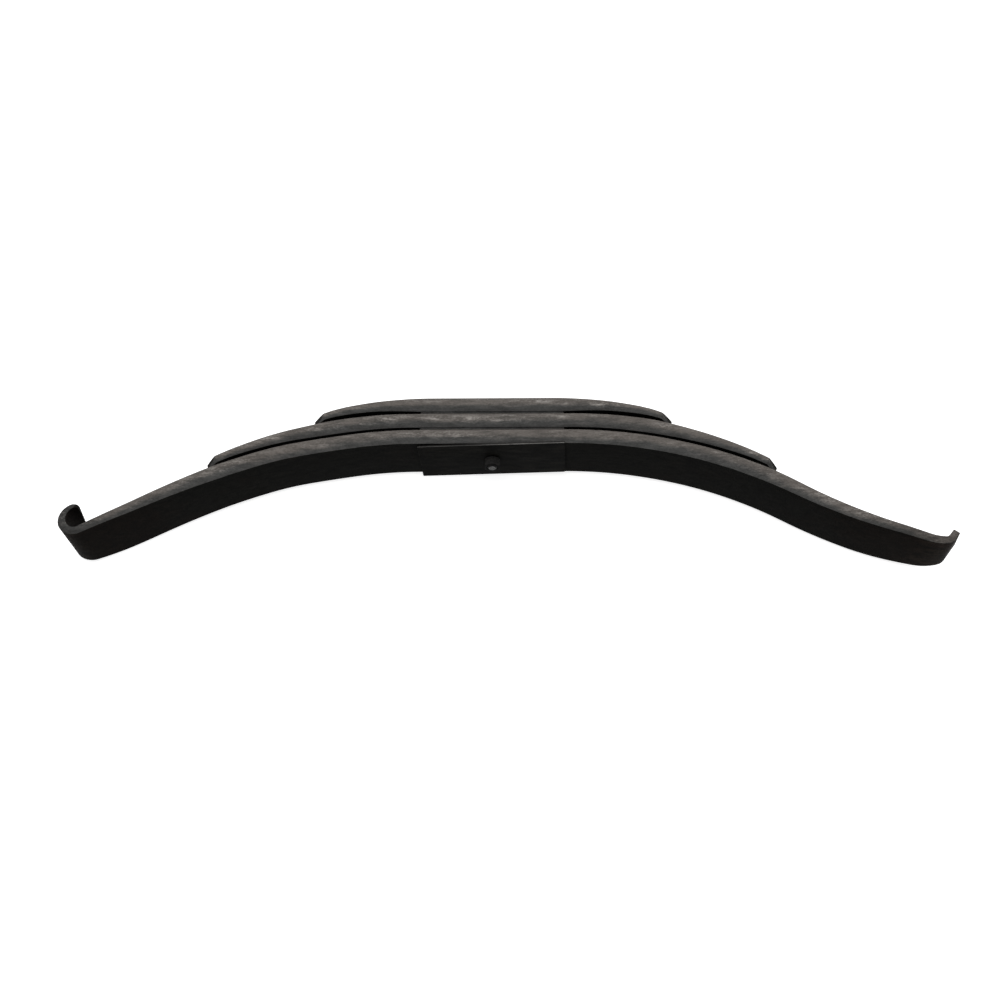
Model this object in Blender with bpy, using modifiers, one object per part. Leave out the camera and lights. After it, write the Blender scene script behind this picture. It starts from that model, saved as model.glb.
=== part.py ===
"""Three-leaf slipper spring with a hook end and a lip end, lying on its side.

+X runs along the spring to the lip end, +Y from the main leaf to the third leaf, +Z up across the width.
The origin is on the main leaf's lower edge at the centre bolt. Everything is in metres.

A leaf spring bends all along its leaves. Here each leaf is divided on a drum-shaped joint either side of
the clamped centre, so that a hook arm and a lip arm swing on two upright axes, as in a three-link model.
"""

import math

import bmesh
import bpy
from mathutils import Matrix, Vector

MM = 0.001

# Leaf stock
LEAF_WIDTH = 76.2 * MM
LEAF_THICKNESS = 21 * MM
EDGE_ROUNDNESS = 0.75       # radius of the rounded edges, as a share of the thickness
EDGE_STEPS = 5

# The main leaf's concave face, outwards from the bolt: (length, turn in degrees, towards -Y positive)
CLAMPED_HALF = 95 * MM
HOOK_SWEEP = [
    (CLAMPED_HALF, 0), (85 * MM, 9), (60 * MM, 2), (50 * MM, 8),
    (60 * MM, 4), (90 * MM, 5), (81 * MM, -4),
]
LIP_SWEEP = [
    (CLAMPED_HALF, 0), (85 * MM, 9), (70 * MM, 7), (50 * MM, 6), (85 * MM, 9),
    (85 * MM, -8), (45 * MM, -6), (35 * MM, 0), (27 * MM, -25),
]

# Hook and lip, measured on their outer faces
HOOK_RADIUS, HOOK_TURN = 22.5 * MM, 200
LIP_RADIUS, LIP_TURN, LIP_STRAIGHT = 12 * MM, 44, 15 * MM

# Half lengths of the shorter leaves, along the main leaf, and the trimmed corners of each tip
SECOND_HALF = 358 * MM
THIRD_HALF = 220 * MM
TIP_TRIM = 13 * MM
HOOK_TRIM, LIP_TRIM = 7 * MM, 2 * MM

# Width of the main leaf, spread by rolling and then narrowed to its ends: (distance from the bolt, width)
MAIN_HOOK_WIDTH = [
    (345 * MM, LEAF_WIDTH), (480 * MM, 81 * MM), (505 * MM, 79 * MM),
    (530 * MM, 73 * MM), (595 * MM, 68 * MM),
]
MAIN_LIP_WIDTH = [
    (345 * MM, LEAF_WIDTH), (480 * MM, 78 * MM), (520 * MM, 76 * MM),
    (550 * MM, 69 * MM), (605 * MM, 52 * MM),
]

# The short leaves keep the stock's width, apart from a slight bulge at the third leaf's pierced hole
NEAR_BOLT = 22 * MM         # the fields beyond this stay clear of the head and the nut
SECOND_WIDTH = [(0, LEAF_WIDTH)]
THIRD_WIDTH = [(0, LEAF_WIDTH + 0.1 * MM), (NEAR_BOLT, LEAF_WIDTH)]

# Thickness along each leaf: (distance from the bolt, thickness)
MAIN_HOOK_TAPER = [
    (350 * MM, LEAF_THICKNESS), (490 * MM, 12.2 * MM), (530 * MM, 9.6 * MM),
    (570 * MM, 7.2 * MM), (600 * MM, 4 * MM),
]
MAIN_LIP_TAPER = [
    (350 * MM, LEAF_THICKNESS), (515 * MM, 12 * MM), (566 * MM, 8.8 * MM), (600 * MM, 7.5 * MM),
]
SECOND_TAPER = [
    (200 * MM, LEAF_THICKNESS), (270 * MM, 15.2 * MM), (320 * MM, 11 * MM), (SECOND_HALF, 9.5 * MM),
]
THIRD_TAPER = [
    (92 * MM, LEAF_THICKNESS), (145 * MM, 14.8 * MM), (196 * MM, 10.6 * MM), (THIRD_HALF, 9 * MM),
]

# Liners, and the gaps between the leaves, which close at the tips
LINER_LENGTH, LINER_WIDTH, LINER_THICKNESS = 184 * MM, 69.5 * MM, 2.8 * MM
FIT_GAP = 0.3 * MM
CLAMP_GAP = LINER_THICKNESS + 2 * FIT_GAP
MAIN_TO_SECOND = [
    (CLAMPED_HALF, CLAMP_GAP), (140 * MM, 3.9 * MM), (320 * MM, 3.7 * MM), (SECOND_HALF, 0.5 * MM),
]
SECOND_TO_THIRD = [
    (CLAMPED_HALF, CLAMP_GAP), (145 * MM, 5.4 * MM), (190 * MM, 4.8 * MM), (THIRD_HALF, 0.5 * MM),
]

# Clamp plate, centre bolt and nut
PLATE_LENGTH, PLATE_WIDTH, PLATE_THICKNESS = 187 * MM, 71.5 * MM, 3 * MM
PLATE_SKEW = -2.6           # degrees about the bolt
BOLT_RADIUS = 6.35 * MM
HOLE_RADIUS = 6.9 * MM
HEAD_RADIUS, HEAD_HEIGHT = 9.5 * MM, 12 * MM
NUT_ACROSS_FLATS, NUT_HEIGHT, NUT_CHAMFER = 19.05 * MM, 11 * MM, 1.1 * MM
NUT_TURN = 4                # degrees from a corner straight up
BOLT_END_BEYOND_NUT = 3.6 * MM
EDGE_BREAK = 1 * MM

# Swinging arms
PIVOT_X, PIVOT_Y = 150 * MM, 18.5 * MM
DRUM_RADIUS = 42 * MM
DRUM_GAP = 0.4 * MM
DRUM_SIDES = 72

MIDDLE_Z = LEAF_WIDTH / 2
CONCAVE_Y = -LEAF_THICKNESS / 2
STACK_TOP_Y = CONCAVE_Y + 3 * LEAF_THICKNESS + 2 * CLAMP_GAP
ROUND_SIDES = 32
STATION_STEP = 24 * MM
STATION_TURN = 13           # degrees
REACH = 700 * MM            # cutters run past the ends of the leaves

STEEL = ((0.105, 0.1, 0.098), 0.55, 0.85)
DARK_STEEL = ((0.04, 0.038, 0.036), 0.6, 0.8)
LINER_STEEL = ((0.07, 0.068, 0.066), 0.6, 0.8)
BOLT_STEEL = ((0.12, 0.12, 0.122), 0.45, 0.9)


def clear_scene():
    for thing in list(bpy.data.objects):
        bpy.data.objects.remove(thing)


def new_collection(name):
    made = bpy.data.collections.new(name)
    bpy.context.scene.collection.children.link(made)
    return made


def new_object(name, mesh, collection):
    made = bpy.data.objects.new(name, mesh)
    collection.objects.link(made)
    return made


def give_material(thing, finish):
    colour, roughness, metallic = finish
    material = bpy.data.materials.new(thing.name)
    material.use_nodes = True
    shader = material.node_tree.nodes["Principled BSDF"]
    shader.inputs["Base Color"].default_value = (*colour, 1)
    shader.inputs["Roughness"].default_value = roughness
    shader.inputs["Metallic"].default_value = metallic
    thing.data.materials.append(material)


def between(table, at):
    """The value that a table of (place, value) gives at a place, held level past its ends."""
    if at <= table[0][0]:
        return table[0][1]
    for (a, low), (b, high) in zip(table, table[1:]):
        if at <= b:
            return low + (high - low) * (at - a) / (b - a)
    return table[-1][1]


class Line:
    """One arm of the main leaf's concave face, as a chain of arcs that starts at the bolt."""

    def __init__(self, side, sweeps):
        self.side = side
        self.arcs = []
        start, place, heading = 0, Vector((0, CONCAVE_Y)), 0
        for length, turn in sweeps:
            self.arcs.append((start, length, place, heading, math.radians(turn)))
            place, heading = self.along(self.arcs[-1], length)
            start += length
        self.length = start

    def along(self, arc, run):
        _, length, place, heading, turn = arc
        end = heading + turn * run / length
        mean = (heading + end) / 2
        half_turn = (end - heading) / 2
        chord = run * (math.sin(half_turn) / half_turn if abs(half_turn) > 1e-9 else 1)
        return place + chord * Vector((self.side * math.cos(mean), -math.sin(mean))), end

    def at(self, distance):
        """The point at a distance from the bolt, and the direction across the leaf there, towards +Y."""
        arc = [a for a in self.arcs if a[0] <= distance + 1e-9][-1]
        place, heading = self.along(arc, distance - arc[0])
        return place, Vector((self.side * math.sin(heading), math.cos(heading)))

    def stations(self, end, extra):
        """Distances from the bolt to end, close enough together for each arc, with the extra ones."""
        found = {0, end}
        found.update(e for e in extra if e < end)
        for start, length, _, _, turn in self.arcs:
            steps = max(math.ceil(length / STATION_STEP), math.ceil(abs(math.degrees(turn)) / STATION_TURN))
            found.update(start + length * i / steps for i in range(steps + 1))
        ordered = sorted(s for s in found if s <= end)
        kept = [s for s, after in zip(ordered, ordered[1:]) if after - s > 0.1 * MM]
        return kept + [end]


def hook_line():
    return Line(-1, HOOK_SWEEP + [(HOOK_RADIUS * math.radians(HOOK_TURN), -HOOK_TURN)])


def lip_line():
    return Line(1, LIP_SWEEP + [(LIP_RADIUS * math.radians(LIP_TURN), -LIP_TURN), (LIP_STRAIGHT, 0)])


def leaf_section(line, distance, rise, thickness, width):
    """The outline across a leaf: two flat faces and two rounded edges."""
    place, across = line.at(distance)
    radius = EDGE_ROUNDNESS * thickness
    reach = math.asin(0.5 / EDGE_ROUNDNESS)
    points = []
    for top in (1, -1):
        for i in range(EDGE_STEPS + 1):
            angle = top * reach * (2 * i / EDGE_STEPS - 1)
            depth = thickness / 2 + radius * math.sin(angle)
            height = width / 2 + radius * (math.cos(angle) - math.cos(reach / EDGE_STEPS))
            point = place + across * (rise + depth)
            points.append(Vector((point.x, point.y, MIDDLE_Z + top * height)))
    return points


def loft(name, sections):
    mesh = bpy.data.meshes.new(name)
    form = bmesh.new()
    rings = [[form.verts.new(p) for p in section] for section in sections]
    for ring, after in zip(rings, rings[1:]):
        for i in range(len(ring)):
            j = (i + 1) % len(ring)
            form.faces.new((ring[i], ring[j], after[j], after[i]))
    form.faces.new(rings[0])
    form.faces.new(rings[-1])
    bmesh.ops.recalc_face_normals(form, faces=form.faces)
    form.to_mesh(mesh)
    form.free()
    mesh.shade_smooth()
    mesh.set_sharp_from_angle(angle=math.radians(25))
    return mesh


def half_sections(line, end, taper, rise, widths, trimmed):
    """Sections from the bolt outwards. rise is a function of the distance from the bolt."""
    trim_start = end - trimmed
    extra = [NEAR_BOLT, trim_start] + [place for place, _ in taper]
    made = []
    for s in line.stations(end, extra):
        trim = max(0, s - trim_start)
        made.append(leaf_section(line, s, rise(s), between(taper, s), between(widths, s) - 2 * trim))
    return made


def second_rise(taper):
    return lambda s: between(taper, s) + between(MAIN_TO_SECOND, s)


def third_rise(taper):
    below = second_rise(taper)
    return lambda s: below(s) + between(SECOND_TAPER, s) + between(SECOND_TO_THIRD, s)


def leaf_mesh(name, hook_half, lip_half):
    """A whole leaf, from the hook end to the lip end."""
    return loft(name, hook_half[:0:-1] + lip_half)


def leaf_meshes():
    hook, lip = hook_line(), lip_line()

    def short_leaf(name, half, taper, rise, widths):
        return leaf_mesh(
            name,
            half_sections(hook, half, taper, rise(MAIN_HOOK_TAPER), widths, TIP_TRIM),
            half_sections(lip, half, taper, rise(MAIN_LIP_TAPER), widths, TIP_TRIM),
        )

    main = leaf_mesh(
        "main_leaf",
        half_sections(hook, hook.length, MAIN_HOOK_TAPER, lambda s: 0, MAIN_HOOK_WIDTH, HOOK_TRIM),
        half_sections(lip, lip.length, MAIN_LIP_TAPER, lambda s: 0, MAIN_LIP_WIDTH, LIP_TRIM),
    )
    second = short_leaf("second_leaf", SECOND_HALF, SECOND_TAPER, second_rise, SECOND_WIDTH)
    third = short_leaf("third_leaf", THIRD_HALF, THIRD_TAPER, third_rise, THIRD_WIDTH)
    return {"main_leaf": main, "second_leaf": second, "third_leaf": third}


def as_cutter(thing):
    thing.hide_render = True
    thing.display_type = "WIRE"
    return thing


def box_mesh(name, low, high):
    mesh = bpy.data.meshes.new(name)
    form = bmesh.new()
    size = [b - a for a, b in zip(low, high)]
    middle = [(a + b) / 2 for a, b in zip(low, high)]
    bmesh.ops.create_cube(form, size=1, matrix=Matrix.Translation(middle) @ Matrix.Diagonal((*size, 1)))
    form.to_mesh(mesh)
    form.free()
    return mesh


def drum_mesh(name, x, radius):
    mesh = bpy.data.meshes.new(name)
    form = bmesh.new()
    place = Matrix.Translation((x, PIVOT_Y, MIDDLE_Z))
    bmesh.ops.create_cone(
        form, cap_ends=True, segments=DRUM_SIDES, radius1=radius, radius2=radius, depth=2 * LEAF_WIDTH,
        matrix=place,
    )
    form.to_mesh(mesh)
    form.free()
    return mesh


def cut(thing, cutter, operation="DIFFERENCE"):
    modifier = thing.modifiers.new(operation.lower(), "BOOLEAN")
    modifier.operation = operation
    modifier.object = cutter
    modifier.solver = "EXACT"


def turned(name, profile, collection, y):
    """A solid turned about the bolt's axis: profile is (distance along -Y from y, radius)."""
    mesh = bpy.data.meshes.new(name)
    form = bmesh.new()
    points = [form.verts.new((radius, 0, along)) for along, radius in reversed(profile)]
    for a, b in zip(points, points[1:]):
        form.edges.new((a, b))
    form.to_mesh(mesh)
    form.free()
    made = new_object(name, mesh, collection)
    made.location = (0, y, MIDDLE_Z)
    made.rotation_euler = (math.radians(90), 0, 0)
    screw = made.modifiers.new("turn", "SCREW")
    screw.steps = ROUND_SIDES
    screw.render_steps = ROUND_SIDES
    screw.use_merge_vertices = True
    screw.merge_threshold = 0.00001
    screw.use_smooth_shade = False
    return made


def drum_cutters(cutters):
    """For each side: what trims the centre, and the two shapes that trim the arm."""
    made = {}
    for side, word in ((-1, "hook"), (1, "lip")):
        pivot = side * PIVOT_X

        def cutter(label, mesh):
            return as_cutter(new_object(label, mesh, cutters))

        def half_space(label, x):
            near, far = sorted((pivot, x))
            mesh = box_mesh(label, (near, -REACH, -LEAF_WIDTH / 2), (far, REACH, 1.5 * LEAF_WIDTH))
            return cutter(label, mesh)

        drum = cutter(word + "_drum", drum_mesh(word + "_drum", pivot, DRUM_RADIUS))
        hollow = cutter(word + "_hollow", drum_mesh(word + "_hollow", pivot, DRUM_RADIUS + DRUM_GAP))
        outboard = half_space(word + "_outboard", side * REACH)
        inboard = half_space(word + "_inboard", -side * REACH)
        cut(outboard, drum)
        made[word] = (outboard, inboard, hollow)
    return made


def make_leaves(parts, cutters, bore):
    drums = drum_cutters(cutters)
    pivots = {}
    for side, word in ((-1, "hook"), (1, "lip")):
        pivot = new_object(word + "_arm_pivot", None, parts)
        pivot.location = (side * PIVOT_X, PIVOT_Y, MIDDLE_Z)
        pivots[word] = pivot
    for name, mesh in leaf_meshes().items():
        centre = new_object(name + "_centre", mesh, parts)
        give_material(centre, STEEL)
        for outboard, _, _ in drums.values():
            cut(centre, outboard)
        cut(centre, bore)
        for word, (_, inboard, hollow) in drums.items():
            arm = new_object(f"{name}_{word}_arm", mesh.copy(), parts)
            arm.data.materials.clear()
            give_material(arm, STEEL)
            cut(arm, inboard)
            cut(arm, hollow)
            arm.parent = pivots[word]
            arm.matrix_parent_inverse = Matrix.Translation(-pivots[word].location)


def flat_bar(name, size, y, skew, finish, parts, bore):
    """A flat rectangular piece on the bolt, its inner face at y, split into fields near the bolt."""
    length, thickness, width = size
    mesh = box_mesh(name, (-length / 2, 0, -width / 2), (length / 2, thickness, width / 2))
    form = bmesh.new()
    form.from_mesh(mesh)
    for x in (-NEAR_BOLT, NEAR_BOLT):
        everything = form.verts[:] + form.edges[:] + form.faces[:]
        bmesh.ops.bisect_plane(form, geom=everything, plane_co=(x, 0, 0), plane_no=(1, 0, 0))
    form.to_mesh(mesh)
    form.free()
    made = new_object(name, mesh, parts)
    made.location = (0, y, MIDDLE_Z)
    made.rotation_euler = (0, math.radians(skew), 0)
    give_material(made, finish)
    cut(made, bore)


def make_liners(parts, bore):
    size = (LINER_LENGTH, LINER_THICKNESS, LINER_WIDTH)
    inner_y = CONCAVE_Y + LEAF_THICKNESS + FIT_GAP
    flat_bar("inner_liner", size, inner_y, 0, LINER_STEEL, parts, bore)
    flat_bar("outer_liner", size, inner_y + LEAF_THICKNESS + CLAMP_GAP, 0, LINER_STEEL, parts, bore)


def make_clamp_plate(parts, bore):
    y = CONCAVE_Y - FIT_GAP - PLATE_THICKNESS
    size = (PLATE_LENGTH, PLATE_THICKNESS, PLATE_WIDTH)
    flat_bar("clamp_plate", size, y, PLATE_SKEW, DARK_STEEL, parts, bore)
    return y


def make_bolt(parts, nut_y):
    """Round head on the third leaf, shank through the stack, chamfered end past the nut."""
    head_y = STACK_TOP_Y + FIT_GAP
    end = HEAD_HEIGHT + head_y - nut_y + NUT_HEIGHT + BOLT_END_BEYOND_NUT
    profile = [
        (0, 0),
        (0, HEAD_RADIUS - EDGE_BREAK),
        (EDGE_BREAK, HEAD_RADIUS),
        (HEAD_HEIGHT, HEAD_RADIUS),
        (HEAD_HEIGHT, BOLT_RADIUS),
        (end - EDGE_BREAK, BOLT_RADIUS),
        (end, BOLT_RADIUS - EDGE_BREAK),
        (end, 0),
    ]
    bolt = turned("centre_bolt", profile, parts, head_y + HEAD_HEIGHT)
    give_material(bolt, BOLT_STEEL)


def make_nut(parts, cutters, nut_y):
    """A hexagon with its outer corners chamfered, running on the bolt with a clear bore."""
    corner = NUT_ACROSS_FLATS / 2 / math.cos(math.radians(30))
    mesh = bpy.data.meshes.new("centre_nut")
    form = bmesh.new()
    bmesh.ops.create_cone(
        form, cap_ends=True, segments=6, radius1=corner, radius2=corner, depth=NUT_HEIGHT,
    )
    form.to_mesh(mesh)
    form.free()
    nut = new_object("centre_nut", mesh, parts)
    nut.location = (0, nut_y - NUT_HEIGHT / 2, MIDDLE_Z)
    nut.rotation_euler = (math.radians(90), math.radians(NUT_TURN), 0)
    give_material(nut, BOLT_STEEL)
    past = 1 * MM
    slope = math.tan(math.radians(30))
    cone = [
        (-past, 0),
        (-past, corner + NUT_CHAMFER),
        (NUT_HEIGHT - NUT_CHAMFER * slope, corner),
        (NUT_HEIGHT + past, corner - NUT_CHAMFER - past / slope),
        (NUT_HEIGHT + past, 0),
    ]
    cut(nut, as_cutter(turned("nut_chamfer", cone, cutters, nut_y)), "INTERSECT")
    running = BOLT_RADIUS + FIT_GAP
    hole = [(-past, 0), (-past, running), (2 * NUT_HEIGHT, running), (2 * NUT_HEIGHT, 0)]
    cut(nut, as_cutter(turned("nut_bore", hole, cutters, nut_y)))


def main():
    clear_scene()
    parts = new_collection("leaf_spring")
    cutters = new_collection("cutters")
    bore_length = STACK_TOP_Y - CONCAVE_Y + 4 * PLATE_THICKNESS
    profile = [(0, 0), (0, HOLE_RADIUS), (bore_length, HOLE_RADIUS), (bore_length, 0)]
    bore = as_cutter(turned("bolt_bore", profile, cutters, STACK_TOP_Y + 2 * PLATE_THICKNESS))
    make_leaves(parts, cutters, bore)
    make_liners(parts, bore)
    plate_y = make_clamp_plate(parts, bore)
    nut_y = plate_y - FIT_GAP
    make_bolt(parts, nut_y)
    make_nut(parts, cutters, nut_y)


main()
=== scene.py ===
"""Looks of a slipper leaf spring that lies on its side: leaves, liners, clamp plate, centre bolt and nut."""

import math

import bmesh
import bpy
from mathutils import Matrix, Vector


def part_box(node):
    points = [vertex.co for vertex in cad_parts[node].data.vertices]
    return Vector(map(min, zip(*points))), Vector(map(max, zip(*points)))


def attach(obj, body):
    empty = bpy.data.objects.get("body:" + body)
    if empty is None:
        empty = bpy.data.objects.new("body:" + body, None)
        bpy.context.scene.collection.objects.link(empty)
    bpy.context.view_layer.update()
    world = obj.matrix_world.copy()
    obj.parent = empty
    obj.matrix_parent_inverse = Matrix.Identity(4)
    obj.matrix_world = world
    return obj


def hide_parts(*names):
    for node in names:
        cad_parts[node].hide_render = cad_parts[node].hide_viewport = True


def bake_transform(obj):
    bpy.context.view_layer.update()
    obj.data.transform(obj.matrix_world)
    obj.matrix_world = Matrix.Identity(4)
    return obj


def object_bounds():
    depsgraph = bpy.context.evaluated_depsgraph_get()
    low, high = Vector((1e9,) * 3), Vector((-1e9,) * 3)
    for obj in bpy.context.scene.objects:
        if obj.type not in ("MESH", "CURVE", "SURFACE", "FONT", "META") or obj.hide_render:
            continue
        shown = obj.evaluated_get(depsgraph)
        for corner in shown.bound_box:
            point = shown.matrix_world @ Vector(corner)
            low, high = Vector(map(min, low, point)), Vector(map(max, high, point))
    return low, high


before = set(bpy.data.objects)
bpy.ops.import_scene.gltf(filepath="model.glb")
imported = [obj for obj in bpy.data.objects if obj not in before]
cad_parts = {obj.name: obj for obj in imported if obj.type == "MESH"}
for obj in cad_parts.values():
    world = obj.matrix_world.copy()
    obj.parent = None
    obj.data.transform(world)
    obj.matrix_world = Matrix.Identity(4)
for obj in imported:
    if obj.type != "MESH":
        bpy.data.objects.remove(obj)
CAD_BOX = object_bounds()

MM = 0.001
NEAR = 0.01 * MM            # two places closer than this count as one

# The main leaf fills the space between the clamp plate and the inner liner, a fitting gap off each
FIT_GAP = 0.3 * MM
CONCAVE_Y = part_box("clamp_plate")[1][1] + FIT_GAP
STOCK_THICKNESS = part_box("inner_liner")[0][1] - FIT_GAP - CONCAVE_Y
STOCK_LOW_Z, STOCK_HIGH_Z = (corner[2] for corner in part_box("main_leaf_centre"))
STOCK_WIDTH = STOCK_HIGH_Z - STOCK_LOW_Z
MIDDLE_Z = (STOCK_LOW_Z + STOCK_HIGH_Z) / 2

# The rolled edge is an arc that meets the flat faces at a soft corner
EDGE_RADIUS = 0.75          # as a share of the thickness
EDGE_REACH = math.asin(0.5 / EDGE_RADIUS)
EDGE_STEPS = 7
CORNER_BREAK = 0.9 * MM

# The main leaf's concave face, outwards from the bolt: (length, turn in degrees)
CLAMPED_HALF = 95 * MM
HOOK_RADIUS, HOOK_TURN = 22.5 * MM, 200
LIP_RADIUS, LIP_TURN, LIP_STRAIGHT = 18 * MM, 44, 14 * MM
HOOK_SWEEP = [
    (CLAMPED_HALF, 0), (85 * MM, 9), (60 * MM, 2), (50 * MM, 8),
    (60 * MM, 4), (90 * MM, 5), (81 * MM, -4),
    (HOOK_RADIUS * math.radians(HOOK_TURN), -HOOK_TURN),
]
LIP_SWEEP = [
    (CLAMPED_HALF, 0), (85 * MM, 9), (70 * MM, 7), (50 * MM, 6), (85 * MM, 9),
    (85 * MM, -8), (45 * MM, -6), (35 * MM, 0), (25 * MM, -25),
    (LIP_RADIUS * math.radians(LIP_TURN), -LIP_TURN), (LIP_STRAIGHT, 0),
]
HOOK_REACH = sum(length for length, _ in HOOK_SWEEP)
LIP_REACH = sum(length for length, _ in LIP_SWEEP)
ENDS = (("hook", -1, HOOK_SWEEP), ("lip", 1, LIP_SWEEP))      # (name, side of the bolt, sweep)

# The tables of the short leaves run to these lengths, and the second leaf is cut before its own
SECOND_REACH, THIRD_REACH = 358 * MM, 220 * MM
SECOND_CUTS = (354.5 * MM, 352.5 * MM)      # hook end, lip end

# Thickness, width and gap tables: (distance from the bolt, value)
MAIN_HOOK_TAPER = [
    (350 * MM, STOCK_THICKNESS), (490 * MM, 12.2 * MM), (530 * MM, 10.2 * MM),
    (566 * MM, 9.8 * MM), (588 * MM, 6.5 * MM), (600 * MM, 4 * MM),
]
MAIN_LIP_TAPER = [
    (350 * MM, STOCK_THICKNESS), (515 * MM, 12.8 * MM), (566 * MM, 11.2 * MM), (600 * MM, 8.2 * MM),
]
SECOND_TAPER = [
    (200 * MM, STOCK_THICKNESS), (270 * MM, 15.2 * MM), (320 * MM, 11 * MM), (SECOND_REACH, 9.5 * MM),
]
THIRD_TAPER = [
    (92 * MM, STOCK_THICKNESS), (145 * MM, 14.8 * MM), (196 * MM, 10.6 * MM), (THIRD_REACH, 9 * MM),
]
MAIN_HOOK_WIDTH = [
    (345 * MM, STOCK_WIDTH), (480 * MM, 81 * MM), (505 * MM, 79 * MM),
    (530 * MM, 73 * MM), (595 * MM, 68 * MM),
]
MAIN_LIP_WIDTH = [
    (345 * MM, STOCK_WIDTH), (480 * MM, 78 * MM), (520 * MM, 76 * MM),
    (550 * MM, 70 * MM), (605 * MM, 54 * MM),
]
SHORT_WIDTH = [(0, STOCK_WIDTH)]
CLAMP_GAP = 3.4 * MM
MAIN_TO_SECOND = [
    (CLAMPED_HALF, CLAMP_GAP), (140 * MM, 3.9 * MM), (320 * MM, 3.7 * MM), (SECOND_REACH, 0.5 * MM),
]
SECOND_TO_THIRD = [
    (CLAMPED_HALF, CLAMP_GAP), (145 * MM, 5.4 * MM), (190 * MM, 4.8 * MM), (THIRD_REACH, 0.5 * MM),
]

# How much of the rolled crown is left on the edges: the lip end was sheared to its shape
ROLLED = [(0, 1)]
SHEARED_LIP = [(514 * MM, 1), (534 * MM, 0.3)]

# How far an end is out of square: (length over which the sections turn, degrees)
SQUARE = (20 * MM, 0)
HOOK_SKEW = (48 * MM, -7)

# The lip's lower edge was drawn out past its upper one, a little more at each of these places
LIP_DRAWN_FROM = (515 * MM, 525 * MM, 535 * MM, 545 * MM, 555 * MM)
LIP_DRAW = 0.8 * MM

# Corners at the leaf ends: (cut at the upper edge, cut at the lower edge, fullness)
# Fullness 1 is a straight cut, and 2 a quarter round
TIP_CORNERS = (13 * MM, 13 * MM, 1.1)
HOOK_CORNERS = (11 * MM, 9 * MM, 2.1)
LIP_CORNERS = (5 * MM, 20 * MM, 1.8)

# Sections of a leaf, and points of the guide that it is bent along
CORNER_SHARES = (0, 0.12, 0.25, 0.4, 0.55, 0.7, 0.82, 0.91, 0.97)      # places along a corner cut
STATION, STATION_TURN = 12 * MM, 6          # most length and most degrees between two sections
CLOSEST = 0.4 * MM                          # least length between two sections
EASE = 12 * MM                              # how far a change of slope is spread, each way
GUIDE_STEP, GUIDE_TURN = 3 * MM, 2          # most length and most degrees between two points

# Liners and clamp plate
LINER_CORNER, LINER_EDGE = 1.5 * MM, 0.3 * MM
LINER_RECESS = 0.8 * MM     # below the crests of the rolled edges
PLATE_CORNER, PLATE_EDGE = 1.6 * MM, 0.8 * MM
PLATE_SKEW = -2.8           # degrees about the bolt
PLATE_LIFT = 0.4 * MM

# Bolt
HOLE_RADIUS = 6.9 * MM
BOLT_RADIUS = 6.35 * MM
BOLT_SIDES = 64
BOLT_SHORT = 2.3 * MM       # how much its end stands back from that of the frame's bolt
BOLT_FACE_RADIUS = 4.4 * MM
THREAD_PITCH, THREAD_DEPTH = 1.95 * MM, 0.8 * MM
THREAD_FLANK = 0.42 * THREAD_PITCH
THREAD_END = 13 * MM        # length of thread that is modelled, back from the bolt's end
POINT_LENGTH = 1.9 * MM
POINT_TAPER = ((0.6, 0.86), (0.4, 0.84))                # (share of its length, narrowing)
DIMPLE_FROM, DIMPLE_DEPTH = 2.4 * MM, 0.6 * MM          # in from the rim of the end, and its slope
HEAD_HEIGHT = 12 * MM
HEAD_CROWN = ((0.8, 1), (0.14, 0.93), (0.06, 0.8))      # (share of its height, narrowing)
HEAD_SEAT = 0.2 * MM        # in from the rim of the shank, where the head starts

# Nut
NUT_FLATS = 19.05 * MM
NUT_TURN = 4                # degrees
NUT_SPARE, NUT_SIDES = 0.3 * MM, 96         # the round form that its corners are turned to
NUT_CHAMFER = 1.5 * MM
NUT_EDGE = 0.25 * MM
NUT_PLAY = 0.25 * MM        # between bolt and nut
NUT_SINK, NUT_SINK_DEPTH = 1.1 * MM, 0.8 * MM           # the countersink, out from the bolt

# The clamped part, which stays straight, is the body that the liners, plate, bolt and nut hang on
BODY = "clamped_centre"

# The room: metres, and lamps as (name, place, size, power)
FLOOR_SIZE, FLOOR_GLOW = 40, 0.75
ROOM_LIGHT = 0.28
LAMPS = (
    ("key", (0.1, 1.5, 2.3), 2.6, 62),
    ("top", (-0.3, -0.2, 3.0), 3.0, 36),
)


def straight_between(table, at):
    """The value of a table of (place, value) at a place, held level past its ends."""
    if at <= table[0][0]:
        return table[0][1]
    for (a, low), (b, high) in zip(table, table[1:]):
        if at <= b:
            return low + (high - low) * (at - a) / (b - a)
    return table[-1][1]


def between(table, at):
    """The same, eased over each change of slope as rolling leaves it."""
    offsets = [EASE * i / 4 for i in range(-4, 5)]
    return sum(straight_between(table, at + offset) for offset in offsets) / len(offsets)


# ---- modelling by hand -------------------------------------------------------------------------


def deselect():
    """Nothing stays selected, so that an operator can't act on an earlier piece."""
    bpy.ops.object.select_all(action="DESELECT")


def only(thing):
    """Selects one object and makes it the active one."""
    deselect()
    thing.select_set(True)
    bpy.context.view_layer.objects.active = thing


def start_piece(name):
    """Names the primitive that was just added, and goes on to shape it in edit mode."""
    piece = bpy.context.object
    piece.name = name
    piece.data.name = name
    bpy.ops.object.transform_apply(location=True, rotation=True, scale=True)
    bpy.ops.object.mode_set(mode="EDIT")
    return piece


def pick_points(piece, test):
    """Selects the points whose place passes the test."""
    bpy.ops.mesh.select_mode(type="VERT")
    bpy.ops.mesh.select_all(action="DESELECT")
    form = bmesh.from_edit_mesh(piece.data)
    for point in form.verts:
        if test(point.co):
            point.select_set(True)
    form.select_flush_mode()
    bmesh.update_edit_mesh(piece.data)


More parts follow.
